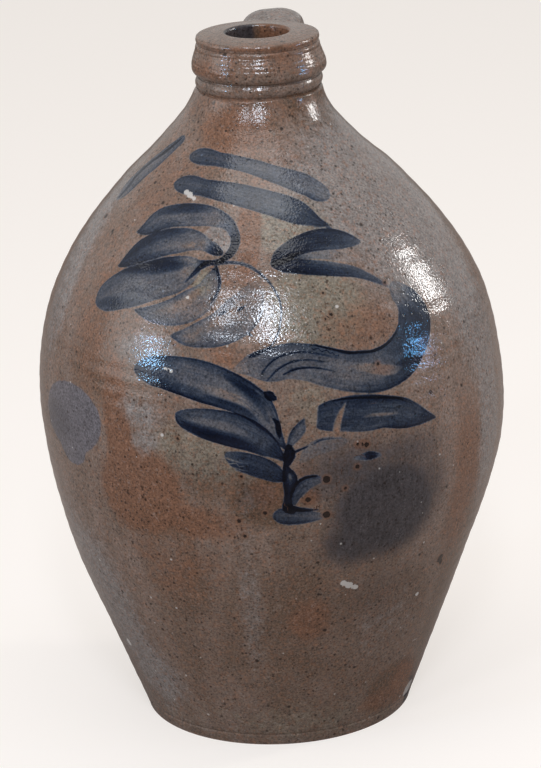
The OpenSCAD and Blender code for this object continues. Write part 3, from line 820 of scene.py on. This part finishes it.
def put(tree, kind, inputs=(), **settings):
    """Adds a node. inputs maps a socket's name or number to a value or to another socket."""
    node = tree.nodes.new("ShaderNode" + kind)
    for name, value in settings.items():
        setattr(node, name, value)
    for key, value in dict(inputs).items():
        if isinstance(value, bpy.types.NodeSocket):
            tree.links.new(value, node.inputs[key])
        else:
            node.inputs[key].default_value = value
    return node


def tree_with(terms):
    """The node tree that the sockets among some terms belong to."""
    return next(term.id_data for term in terms if isinstance(term, bpy.types.NodeSocket))


def calc(operation, *terms, clamp=False):
    """The result of a sum on numbers and sockets."""
    sockets = dict(enumerate(terms))
    return put(tree_with(terms), "Math", sockets, operation=operation, use_clamp=clamp).outputs[0]


def times(first, second):
    return calc("MULTIPLY", first, second)


def plus(first, second):
    return calc("ADD", first, second)


def minus(first, second):
    return calc("SUBTRACT", first, second)


def times_plus(first, second, third):
    return calc("MULTIPLY_ADD", first, second, third)


def vector(operation, first, second):
    """The result of a sum on places or colours."""
    sockets = {0: first, 1: second}
    return put(tree_with((first, second)), "VectorMath", sockets, operation=operation).outputs[0]


def scaled(colour, amount):
    return put(colour.id_data, "VectorMath", {0: colour, "Scale": amount}, operation="SCALE").outputs[0]


def rise(value, low, high):
    """Goes smoothly from 0 to 1 while the value goes from low to high."""
    sockets = {"Value": value, "From Min": low, "From Max": high}
    return put(value.id_data, "MapRange", sockets, interpolation_type="SMOOTHSTEP").outputs["Result"]


def blend(share, first, second):
    """One colour laid over another."""
    return put(share.id_data, "Mix", {0: share, 6: first, 7: second}, data_type="RGBA").outputs[2]


def noise(place, scale, detail=3.0, rough=0.55):
    sockets = {"Vector": place, "Scale": scale, "Detail": detail, "Roughness": rough}
    return put(place.id_data, "TexNoise", sockets).outputs["Fac"]


def new_group(name, inputs, outputs):
    """An empty node group with its named sockets, which are plain numbers but for two."""
    group = bpy.data.node_groups.new(name, "ShaderNodeTree")
    for in_out, sockets in (("INPUT", inputs), ("OUTPUT", outputs)):
        for socket in sockets:
            kind = {"Place": "Vector", "Color": "Color"}.get(socket, "Float")
            group.interface.new_socket(socket, in_out=in_out, socket_type="NodeSocket" + kind)
    return group, group.nodes.new("NodeGroupInput").outputs, group.nodes.new("NodeGroupOutput").inputs


def speck_group():
    """Scattered round specks: a mask of the share of cells that hold one, of uneven size."""
    tree, given, out = new_group("specks", ["Place", "Density", "Size", "Share"], ["Mask"])
    cells = put(tree, "TexVoronoi", {"Vector": given["Place"], "Scale": given["Density"]})
    random = put(tree, "SeparateColor", {0: cells.outputs["Color"]}).outputs
    size = times(given["Size"], plus(random[1], 0.3))
    reach = times(size, given["Density"])
    gap = minus(calc("DIVIDE", cells.outputs["Distance"], reach), 1.0)
    spot = rise(gap, 0.35, -0.35)
    held = calc("LESS_THAN", random[0], given["Share"])
    tree.links.new(times(spot, held), out["Mask"])
    return tree


def glaze_group(specks):
    """Colour, roughness and height of the salt glaze, from the strengths of its tones."""
    tones = [name.capitalize() for name in tone_names]
    tree, given, out = new_group("salt_glaze", tones, ["Color", "Grain", "Roughness", "Height"])
    place = put(tree, "TexCoord").outputs["Object"]
    fine = noise(place, 760.0, 4.0, 0.72)
    middle = noise(place, 190.0, 4.0, 0.6)
    broad = noise(place, 30.0, 4.0)
    tall = put(tree, "Mapping", {"Vector": place, "Scale": (85.0, 85.0, 9.0)}).outputs[0]
    runs = noise(tall, 1.0, 3.0)
    slant = {"Vector": place, "Rotation": (0, math.radians(-52), 0), "Scale": (380.0, 380.0, 45.0)}
    slanted = put(tree, "Mapping", slant).outputs[0]
    scratches = noise(slanted, 1.0, 3.0, 0.7)

    ragged = plus(times_plus(middle, 0.9, -0.45), times_plus(broad, 0.9, -0.45))
    rust, olive, film = (rise(plus(given[name], ragged), 0.1, 0.85) for name in ("Rust", "Olive", "Film"))
    toast = rise(plus(given["Toast"], ragged), 0.0, 0.9)
    swing = minus(middle, 0.5)
    scratch_swing = minus(scratches, 0.5)
    smoke = rise(times_plus(scratch_swing, 0.5, times_plus(swing, 0.45, given["Smoke"])), 0.05, 0.9)
    ash = rise(times_plus(swing, 0.7, given["Ash"]), 0.3, 0.8)

    # Each tone is laid over those before it, at most as strongly as its number
    flush = rise(noise(place, 260.0, 4.0, 0.65), 0.5, 0.75)
    flecks = noise(place, 620.0, 3.0, 0.6)
    warm_flecks, grey_flecks = rise(flecks, 0.53, 0.68), rise(flecks, 0.44, 0.28)
    colour = blend(rise(runs, 0.35, 0.65), clay_tint, clay_dim_tint)
    for share, most, tone_tint in (
            (toast, 0.9, toast_tint), (olive, 0.85, olive_tint), (rust, 0.85, rust_tint),
            (film, 0.85, film_tint), (flush, 0.5, flush_tint), (warm_flecks, 0.55, flush_tint),
            (grey_flecks, 0.4, film_tint), (ash, 0.88, ash_tint), (smoke, 0.9, smoke_tint)):
        colour = blend(times(share, most), colour, tone_tint)
    grain = times_plus(swing, 0.9, times_plus(minus(fine, 0.5), 2.5, 1.0))
    grain = times_plus(times(scratch_swing, smoke), 1.6, grain)
    colour = scaled(colour, grain)

    def speck(density, size, share):
        sockets = {"Place": place, "Density": density, "Size": size, "Share": share}
        return put(tree, "Group", sockets, node_tree=specks).outputs["Mask"]

    crowd = calc("ADD", given["Specks"], times_plus(broad, 1.2, -0.5), clamp=True)
    dust = speck(780.0, 0.00045, times_plus(crowd, 0.3, 0.12))
    small = speck(430.0, 0.00068, times_plus(crowd, 0.28, 0.1))
    large = speck(130.0, 0.0010, times_plus(crowd, 0.3, 0.1))
    pale = speck(190.0, 0.0006, 0.12)
    iron = calc("MAXIMUM", times(dust, 0.6), calc("MAXIMUM", times(small, 0.85), large))
    colour = blend(times(iron, 0.85), colour, iron_tint)
    colour = blend(times(pale, 0.6), colour, pale_tint)
    tree.links.new(colour, out["Color"])
    marred = times_plus(iron, -0.5, 1.0)
    tree.links.new(times_plus(pale, 0.8, times(grain, marred)), out["Grain"])

    peel = put(tree, "TexVoronoi", {"Vector": place, "Scale": 880.0, "Smoothness": 0.6}, feature="SMOOTH_F1")
    skin = times(peel.outputs["Distance"], 0.000085)
    for scale, height in ((1900.0, 0.000026), (150.0, 0.00018)):
        skin = plus(skin, times(noise(place, scale, 2.0), height))
    tree.links.new(times_plus(iron, -0.00006, skin), out["Height"])

    rough = times_plus(rust, 0.07, times_plus(middle, 0.16, 0.03))
    tree.links.new(times_plus(smoke, 0.14, rough), out["Roughness"])
    return tree


def brush_group():
    """How much cobalt one layer lays down, with streaks from the hairs and a pooled edge."""
    tree, given, out = new_group("cobalt_stroke", ["Deep", "Side", "Along", "Load"], ["Pigment"])
    place = put(tree, "TexCoord").outputs["Object"]

    def combed(across, along):
        sockets = {0: times(given["Side"], across), 1: times(given["Along"], along)}
        return put(tree, "CombineXYZ", sockets).outputs[0]

    broad = minus(noise(combed(3.6, 20.0), 1.0, 3.0, 0.7), 0.5)
    hairs = minus(noise(combed(13.0, 42.0), 1.0, 2.0), 0.5)
    fray = times_plus(noise(place, 600.0, 2.0), 0.0006, -0.0003)
    deep = times_plus(hairs, 0.0012, plus(given["Deep"], fray))
    mask = rise(deep, -0.0004, 0.0006)
    edge = times(rise(deep, 0.0018, 0.0004), mask)
    streaks = times_plus(hairs, 0.4, times(broad, 1.3))
    held = times(calc("POWER", calc("MAXIMUM", given["Load"], 0.0), 1.5), 1.6)
    load = times(held, plus(streaks, 1.0))
    load = times_plus(minus(noise(place, 60.0, 4.0, 0.65), 0.5), 0.8, load)
    load = times_plus(minus(noise(place, 1000.0, 3.0), 0.5), 0.7, load)
    load = times_plus(times(edge, given["Load"]), 0.3, load)
    load = calc("MAXIMUM", load, 0.05)
    tree.links.new(times(load, mask), out["Pigment"])
    return tree


specks_tree = speck_group()
glaze_tree = glaze_group(specks_tree)
brush_tree = brush_group()


def attribute(tree, name):
    """The four numbers painted on a piece's points."""
    node = put(tree, "Attribute", attribute_name=name)
    parts = put(tree, "SeparateColor", {0: node.outputs["Color"]}).outputs
    return [parts[0], parts[1], parts[2], node.outputs["Alpha"]]


def grouped(tree, group, values):
    """A group placed in a material, fed with values in the order of its sockets."""
    return put(tree, "Group", dict(enumerate(values)), node_tree=group).outputs


def cobalt_over(tree, colour, grain):
    """The glaze's colour with the brushwork laid in it, and how thick the cobalt is."""
    laid = [grouped(tree, brush_tree, attribute(tree, f"brush_{number}")) for number in range(layer_count)]
    for number in range(line_layer_count):
        across, half, along, load = attribute(tree, f"line_{number}")
        deep = minus(half, calc("ABSOLUTE", across))
        side = times(across, line_side_scale)
        laid.append(grouped(tree, brush_tree, [deep, side, along, load]))
    cobalt = laid[0]["Pigment"]
    for outputs in laid[1:]:
        cobalt = plus(cobalt, outputs["Pigment"])
    across, half, _, amount = attribute(tree, "pool")
    spread = calc("DIVIDE", calc("ABSOLUTE", across), calc("MAXIMUM", half, 0.0001))
    spread = times(rise(spread, 1.0, 0.1), rise(cobalt, 0.02, 0.25))
    cobalt = calc("MAXIMUM", times_plus(spread, amount, cobalt), 0.0)
    across, half, _, strength = attribute(tree, "dry")
    kept_off = rise(minus(half, calc("ABSOLUTE", across)), -0.0006, 0.0009)
    cobalt = times(cobalt, times_plus(kept_off, times(strength, -1.0), 1.0))
    let_through = [calc("EXPONENT", times(cobalt, -density)) for density in cobalt_density]
    through = put(tree, "CombineColor", dict(enumerate(let_through))).outputs[0]
    held_back = vector("SUBTRACT", (1, 1, 1), through)
    wash = put(tree, "ValToRGB", {0: calc("DIVIDE", cobalt, cobalt_full)})
    stops = wash.color_ramp.elements
    for place in list(cobalt_wash)[1:-1]:
        stops.new(place)
    for stop, colours in zip(stops, cobalt_wash.values()):
        stop.color = tint(*colours)
    body_blue = scaled(vector("MULTIPLY", held_back, wash.outputs[0]), grain)
    return vector("ADD", vector("MULTIPLY", colour, through), body_blue), cobalt


def marked(tree, name):
    """A mask of the round marks painted under a name, and how deep a place lies in one."""
    node = put(tree, "Attribute", attribute_name=name)
    away = put(tree, "VectorMath", {0: node.outputs["Vector"]}, operation="LENGTH").outputs["Value"]
    place = put(tree, "TexCoord").outputs["Object"]
    ragged = times_plus(noise(place, 900.0, 2.0), 0.0012, -0.0006)
    deep = plus(minus(node.outputs["Alpha"], away), ragged)
    return rise(deep, -0.0003, 0.0003), deep


def glazed(name, brushed=False):
    """The material of a glazed piece, with or without brushwork under the glaze."""
    material = bpy.data.materials.new(name)
    material.use_nodes = True
    tree = material.node_tree
    shader = tree.nodes["Principled BSDF"]
    glaze = grouped(tree, glaze_tree, attribute(tree, "glaze_tone") + attribute(tree, "glaze_more")[:3])
    colour, rough = glaze["Color"], glaze["Roughness"]
    if brushed:
        colour, cobalt = cobalt_over(tree, colour, glaze["Grain"])
        rough = times_plus(calc("MINIMUM", cobalt, 1.5), -0.01, rough)
        dark, deep = marked(tree, "dark_marks")
        colour = blend(times(rise(deep, -0.0020, -0.0002), 0.45), colour, rust_tint)
        colour = blend(times(dark, 0.9), colour, blister_tint)
        # Pale drips, chips and dust, and the glints among them as painted highlights
        colour = blend(times(marked(tree, "pale_marks")[0], 0.8), colour, pale_tint)
    bump = put(tree, "Bump", {"Height": glaze["Height"], "Distance": 1.0, "Strength": 1.0})
    shader.inputs["IOR"].default_value = 1.58
    tree.links.new(colour, shader.inputs["Base Color"])
    tree.links.new(rough, shader.inputs["Roughness"])
    tree.links.new(bump.outputs[0], shader.inputs["Normal"])
    return material


body.data.materials.append(glazed("body_glaze", brushed=True))
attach(body, "root")
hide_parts("lower_body", "upper_body")

# Neck bead
# A thin bead of the same clay, tooled round the neck under the collar while the jug still turned
# on the wheel.
bead_low, bead_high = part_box("neck_bead")
bead_tree = tree_of(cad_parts["neck_bead"])


neck_patches = [
    ("toast", front_turn, 0.385, 200, 14, 0, 0.2, 0.9),
    ("rust", front_turn, 0.392, 100, 12, 0, 0.5, 0.9),
    ("rust", front_turn - 0.9, 0.384, 20, 6, 0, 0.9, 0.9),
    ("rust", front_turn + 0.25, 0.3968, 30, 1, 0, 1.3, 0.5),
    ("rust", front_turn + 3.4, 0.385, 40, 50, 0, 0.6, 0.9),
    ("olive", front_turn - 1.9, 0.385, 30, 30, 0, 0.5, 0.9),
    ("specks", front_turn, 0.39, 200, 20, 0, 1.0, 0.9),
]
collar_glaze = glazed("collar_glaze")
ring_steps = 240


def glaze_piece(piece, patches, material):
    """Leans a piece with the wandering axis, lays its tones and gives it its material."""
    set_points(piece, lean(points_of(piece)))
    paint_tones(piece, lay_tones(points_of(piece), patches))
    piece.data.materials.append(material)


def neck_ring(name, side, low, high):
    """A ring on the neck tube: the line of its outside, closed along the tube, is spun round."""
    piece = draw_line(name, [(tube_r, low), *side, (tube_r, high), (tube_r, low)], 0)
    bpy.ops.mesh.select_all(action="SELECT")
    bpy.ops.mesh.spin(steps=ring_steps, angle=2 * math.pi, center=(0, 0, 0), axis=(0, 0, 1))
    close_up(piece)
    glaze_piece(piece, neck_patches, collar_glaze)
    return piece


bead_rows = np.linspace(bead_low.z + inset, bead_high.z - inset, 12)
bead = neck_ring("bead", [(outer_r(bead_tree, h), h) for h in bead_rows], bead_rows[0], bead_rows[-1])
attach(bead, "root")
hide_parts("neck_bead")

# Neck collar
# A heavy ring of clay round the mouth, tooled into a rolled lower edge, a groove and an upper
# band, with its top sloping out from the mouth.
collar_low, collar_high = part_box("neck_collar")
collar_tree = tree_of(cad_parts["neck_collar"])
edge_drop = 0.0026
rim_rows = np.linspace(collar_low.z + inset, collar_high.z - edge_drop, 130)
# Lines left by the tool and the fingers: height over the collar's foot, depth and half width
tool_lines = [
    (0.0008, 0.0009, 0.0006), (0.0062, 0.00008, 0.0005), (0.0091, 0.00012, 0.0004),
    (0.0118, 0.00010, 0.0005), (0.0158, 0.00014, 0.0005), (0.0186, 0.0005, 0.0005),
    (0.0198, 0.00008, 0.0003),
]


def tooled(height):
    """How deep the tool lines cut into the collar at a height."""
    return sum(dip(height - collar_low.z - over, deep, half) for over, deep, half in tool_lines)


collar_side = [(outer_r(collar_tree, h) - tooled(h), h) for h in rim_rows]
edge_r = collar_side[-1][0]
rim_radii = np.concatenate([
    edge_r - np.array([0.0003, 0.0007, 0.0012, 0.0018]), np.linspace(edge_r - 0.0025, tube_r + 0.0005, 8)])
rim_top = [(r, collar_tree.ray_cast(Vector((0, -r, far)), Vector((0, 0, -1)))[0].z) for r in rim_radii]
collar = neck_ring("collar", collar_side + rim_top, collar_low.z, collar_high.z)
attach(collar, "root")
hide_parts("neck_collar")

# Strap handle
# A strap pulled by hand from a lump of clay, luted to the collar, arched over and thumbed down
# on the shoulder. One soft groove runs along its back.
strap_low, strap_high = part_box("strap_handle")
root_low, root_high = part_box("handle_root")
foot_low, foot_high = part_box("handle_foot")
strap_half_w = (strap_high.x - strap_low.x) / 2
strap_half_t = 0.0085
groove_deep = 0.0006
groove_half = strap_half_w * 0.3
groove_aside = groove_half * 0.3
section_sides = 40
# The back of the strap humps a little higher on one side, where the thumb pressed less
hump_rise = 0.0012

# The strap's middle line from its root to its tail: distance behind the axis, height, and the
# share of the full section there
crest_z = strap_high.z - strap_half_t
out_y = strap_high.y - strap_half_t
handle_way = [
    (0.0300, 0.3790, 1.34), (0.0410, 0.3858, 1.14), (0.0540, crest_z - 0.0010, 1.02),
    (0.0680, crest_z, 1.0), (0.0830, crest_z - 0.0070, 0.96), (out_y - 0.0035, crest_z - 0.0230, 0.90),
    (out_y, strap_high.z - 0.0480, 0.82), (out_y + 0.0004, foot_high.z - 0.002, 0.74),
    (out_y - 0.0012, foot_high.z - 0.0160, 0.70), (out_y - 0.0005, foot_high.z - 0.0310, 0.62),
    (out_y + 0.0045, foot_low.z + 0.0080, 0.44),
]
section_curve = bpy.data.curves.new("strap_section", "CURVE")
section_curve.dimensions = "2D"
spline = section_curve.splines.new("POLY")
spline.points.add(section_sides - 1)
spline.use_cyclic_u = True
for i, point in enumerate(spline.points):
    a = 2 * math.pi * i / section_sides
    x = strap_half_w * math.cos(a)
    y = strap_half_t * math.sin(a)
    if y > 0:
        hump = hump_rise * (1 - x / strap_half_w) / 2
        y -= dip(x + groove_aside, groove_deep, groove_half) + hump
    point.co = (x, y, 0, 1)
section = bpy.data.objects.new("strap_section", section_curve)
bpy.context.scene.collection.objects.link(section)

way_curve = bpy.data.curves.new("handle", "CURVE")
way_curve.dimensions = "3D"
way_curve.twist_mode = "MINIMUM"
way_curve.resolution_u = 8
way_curve.bevel_mode = "OBJECT"
way_curve.bevel_object = section
way_curve.use_fill_caps = True
spline = way_curve.splines.new("BEZIER")
spline.bezier_points.add(len(handle_way) - 1)
for point, (y, z, size) in zip(spline.bezier_points, handle_way):
    point.co = (0, y, z)
    point.radius = size
    point.handle_left_type = point.handle_right_type = "AUTO"
handle = bpy.data.objects.new("handle", way_curve)
bpy.context.scene.collection.objects.link(handle)
only(handle)
bpy.ops.object.convert(target="MESH")
handle = bpy.context.object
bpy.data.objects.remove(section)
bpy.ops.object.mode_set(mode="EDIT")
close_up(handle)
handle_patches = [
    ("film", math.pi - 0.05, 0.392, 30, 30, 0, 0.8, 0.8),
    ("toast", math.pi + 0.09, 0.394, 6, 5, 0, 1.2, 0.5),
    ("specks", math.pi + 0.08, 0.394, 10, 8, 0, 1.4, 0.6),
    ("rust", math.pi, 0.33, 60, 30, 0, 0.6, 0.8),
]
glaze_piece(handle, handle_patches, glazed("handle_glaze"))
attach(handle, "root")
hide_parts("strap_handle", "handle_root", "handle_foot")

# Studio
# A plain pale floor, tall windows for the main light, small cool ones low at the sides and an
# even sky. The room in front of the jug is dim, so the glaze mirrors pale only at its edges.
floor_half = 6
bpy.ops.object.select_all(action="DESELECT")
bpy.ops.mesh.primitive_plane_add(size=2 * floor_half)
floor = bpy.context.object
floor.name = "floor"
paper = bpy.data.materials.new("pale_floor")
paper.use_nodes = True
tree = paper.node_tree
sheet = tree.nodes["Principled BSDF"]
sheet.inputs["Roughness"].default_value = 0.9
sheet.inputs["Specular IOR Level"].default_value = 0.1
sheet.inputs["Emission Color"].default_value = tint(244, 239, 234)
seen_by = put(tree, "LightPath").outputs
tree.links.new(times(seen_by["Is Camera Ray"], 0.68), sheet.inputs["Emission Strength"])
behind = rise(put(tree, "SeparateXYZ", {0: put(tree, "TexCoord").outputs["Object"]}).outputs[1], -0.6, 0.3)
mirrored_tint = blend(behind, tint(84, 72, 64), tint(166, 154, 146))
paper_tint = blend(seen_by["Is Glossy Ray"], tint(176, 170, 165), mirrored_tint)
tree.links.new(paper_tint, sheet.inputs["Base Color"])
floor.data.materials.append(paper)


def soft_lamp(name, place, way, wide, tall, energy, colour=(1, 1, 1)):
    """A flat lamp that shines one way from a place."""
    bpy.ops.object.light_add(type="AREA")
    lamp = bpy.context.object
    lamp.name = lamp.data.name = name
    lamp.data.shape = "RECTANGLE"
    lamp.data.size, lamp.data.size_y = wide, tall
    lamp.data.energy = energy
    lamp.data.color = colour
    lamp.matrix_world = Matrix.Translation(place) @ way.to_track_quat("-Z", "Y").to_matrix().to_4x4()


def window(name, px, py, wide, tall, reach, radiance, colour):
    """A lamp that stands where the wall at a pixel of the photograph mirrors it."""
    place, out = on_wall(px, py)
    sight = photo_ray(px, py)[1]
    way = sight - 2 * sight.dot(out) * out
    soft_lamp(name, place + way * reach, -way, wide, tall, math.pi * wide * tall * radiance, colour)


window("left_pane", 227, 320, 0.20, 0.50, 2.2, 18, (0.8, 0.88, 1))
window("middle_pane", 269, 315, 0.20, 0.74, 2.2, 32, (0.8, 0.88, 1))
window("far_pane", 292, 314, 0.14, 0.5, 2.2, 6, (0.85, 0.92, 1))
window("right_pane", 424, 281, 0.20, 0.50, 1.8, 24, (1, 0.98, 0.96))
window("left_cool_pane", 150.5, 364, 0.058, 0.155, 1.6, 95, (0.28, 0.6, 1))
window("left_violet_pane", 148, 350, 0.20, 0.07, 1.6, 18, (0.72, 0.74, 1))
window("right_cool_pane", 418.5, 351, 0.042, 0.14, 1.6, 95, (0.16, 0.52, 1))
window("right_violet_pane", 429, 366, 0.07, 0.18, 1.6, 14, (0.55, 0.62, 1))
soft_lamp("ceiling", (0, -0.5, 2.6), Vector((0, 0, -1)), 1.6, 1.6, 14)
soft_lamp("left_fill", (-2.2, -1.0, 0.9), Vector((2.2, 1.0, -0.7)), 1.5, 1.5, 10)

world = bpy.data.worlds.new("studio_sky")
bpy.context.scene.world = world
world.use_nodes = True
tree = world.node_tree
sky = tree.nodes["Background"]
sky.inputs["Color"].default_value = tint(248, 246, 244)
seen_by = put(tree, "LightPath").outputs
sky_light = 0.41
sky_seen = 0.92
way = put(tree, "SeparateXYZ", {0: put(tree, "TexCoord").outputs["Generated"]}).outputs
mirrored = times_plus(rise(way[1], -0.8, 0.25), 0.46, 0.05 - sky_light)
light = times_plus(seen_by["Is Glossy Ray"], mirrored, sky_light)
light = times_plus(seen_by["Is Camera Ray"], sky_seen - sky_light, light)
tree.links.new(light, sky.inputs["Strength"])
bpy.context.scene.view_settings.view_transform = "Standard"
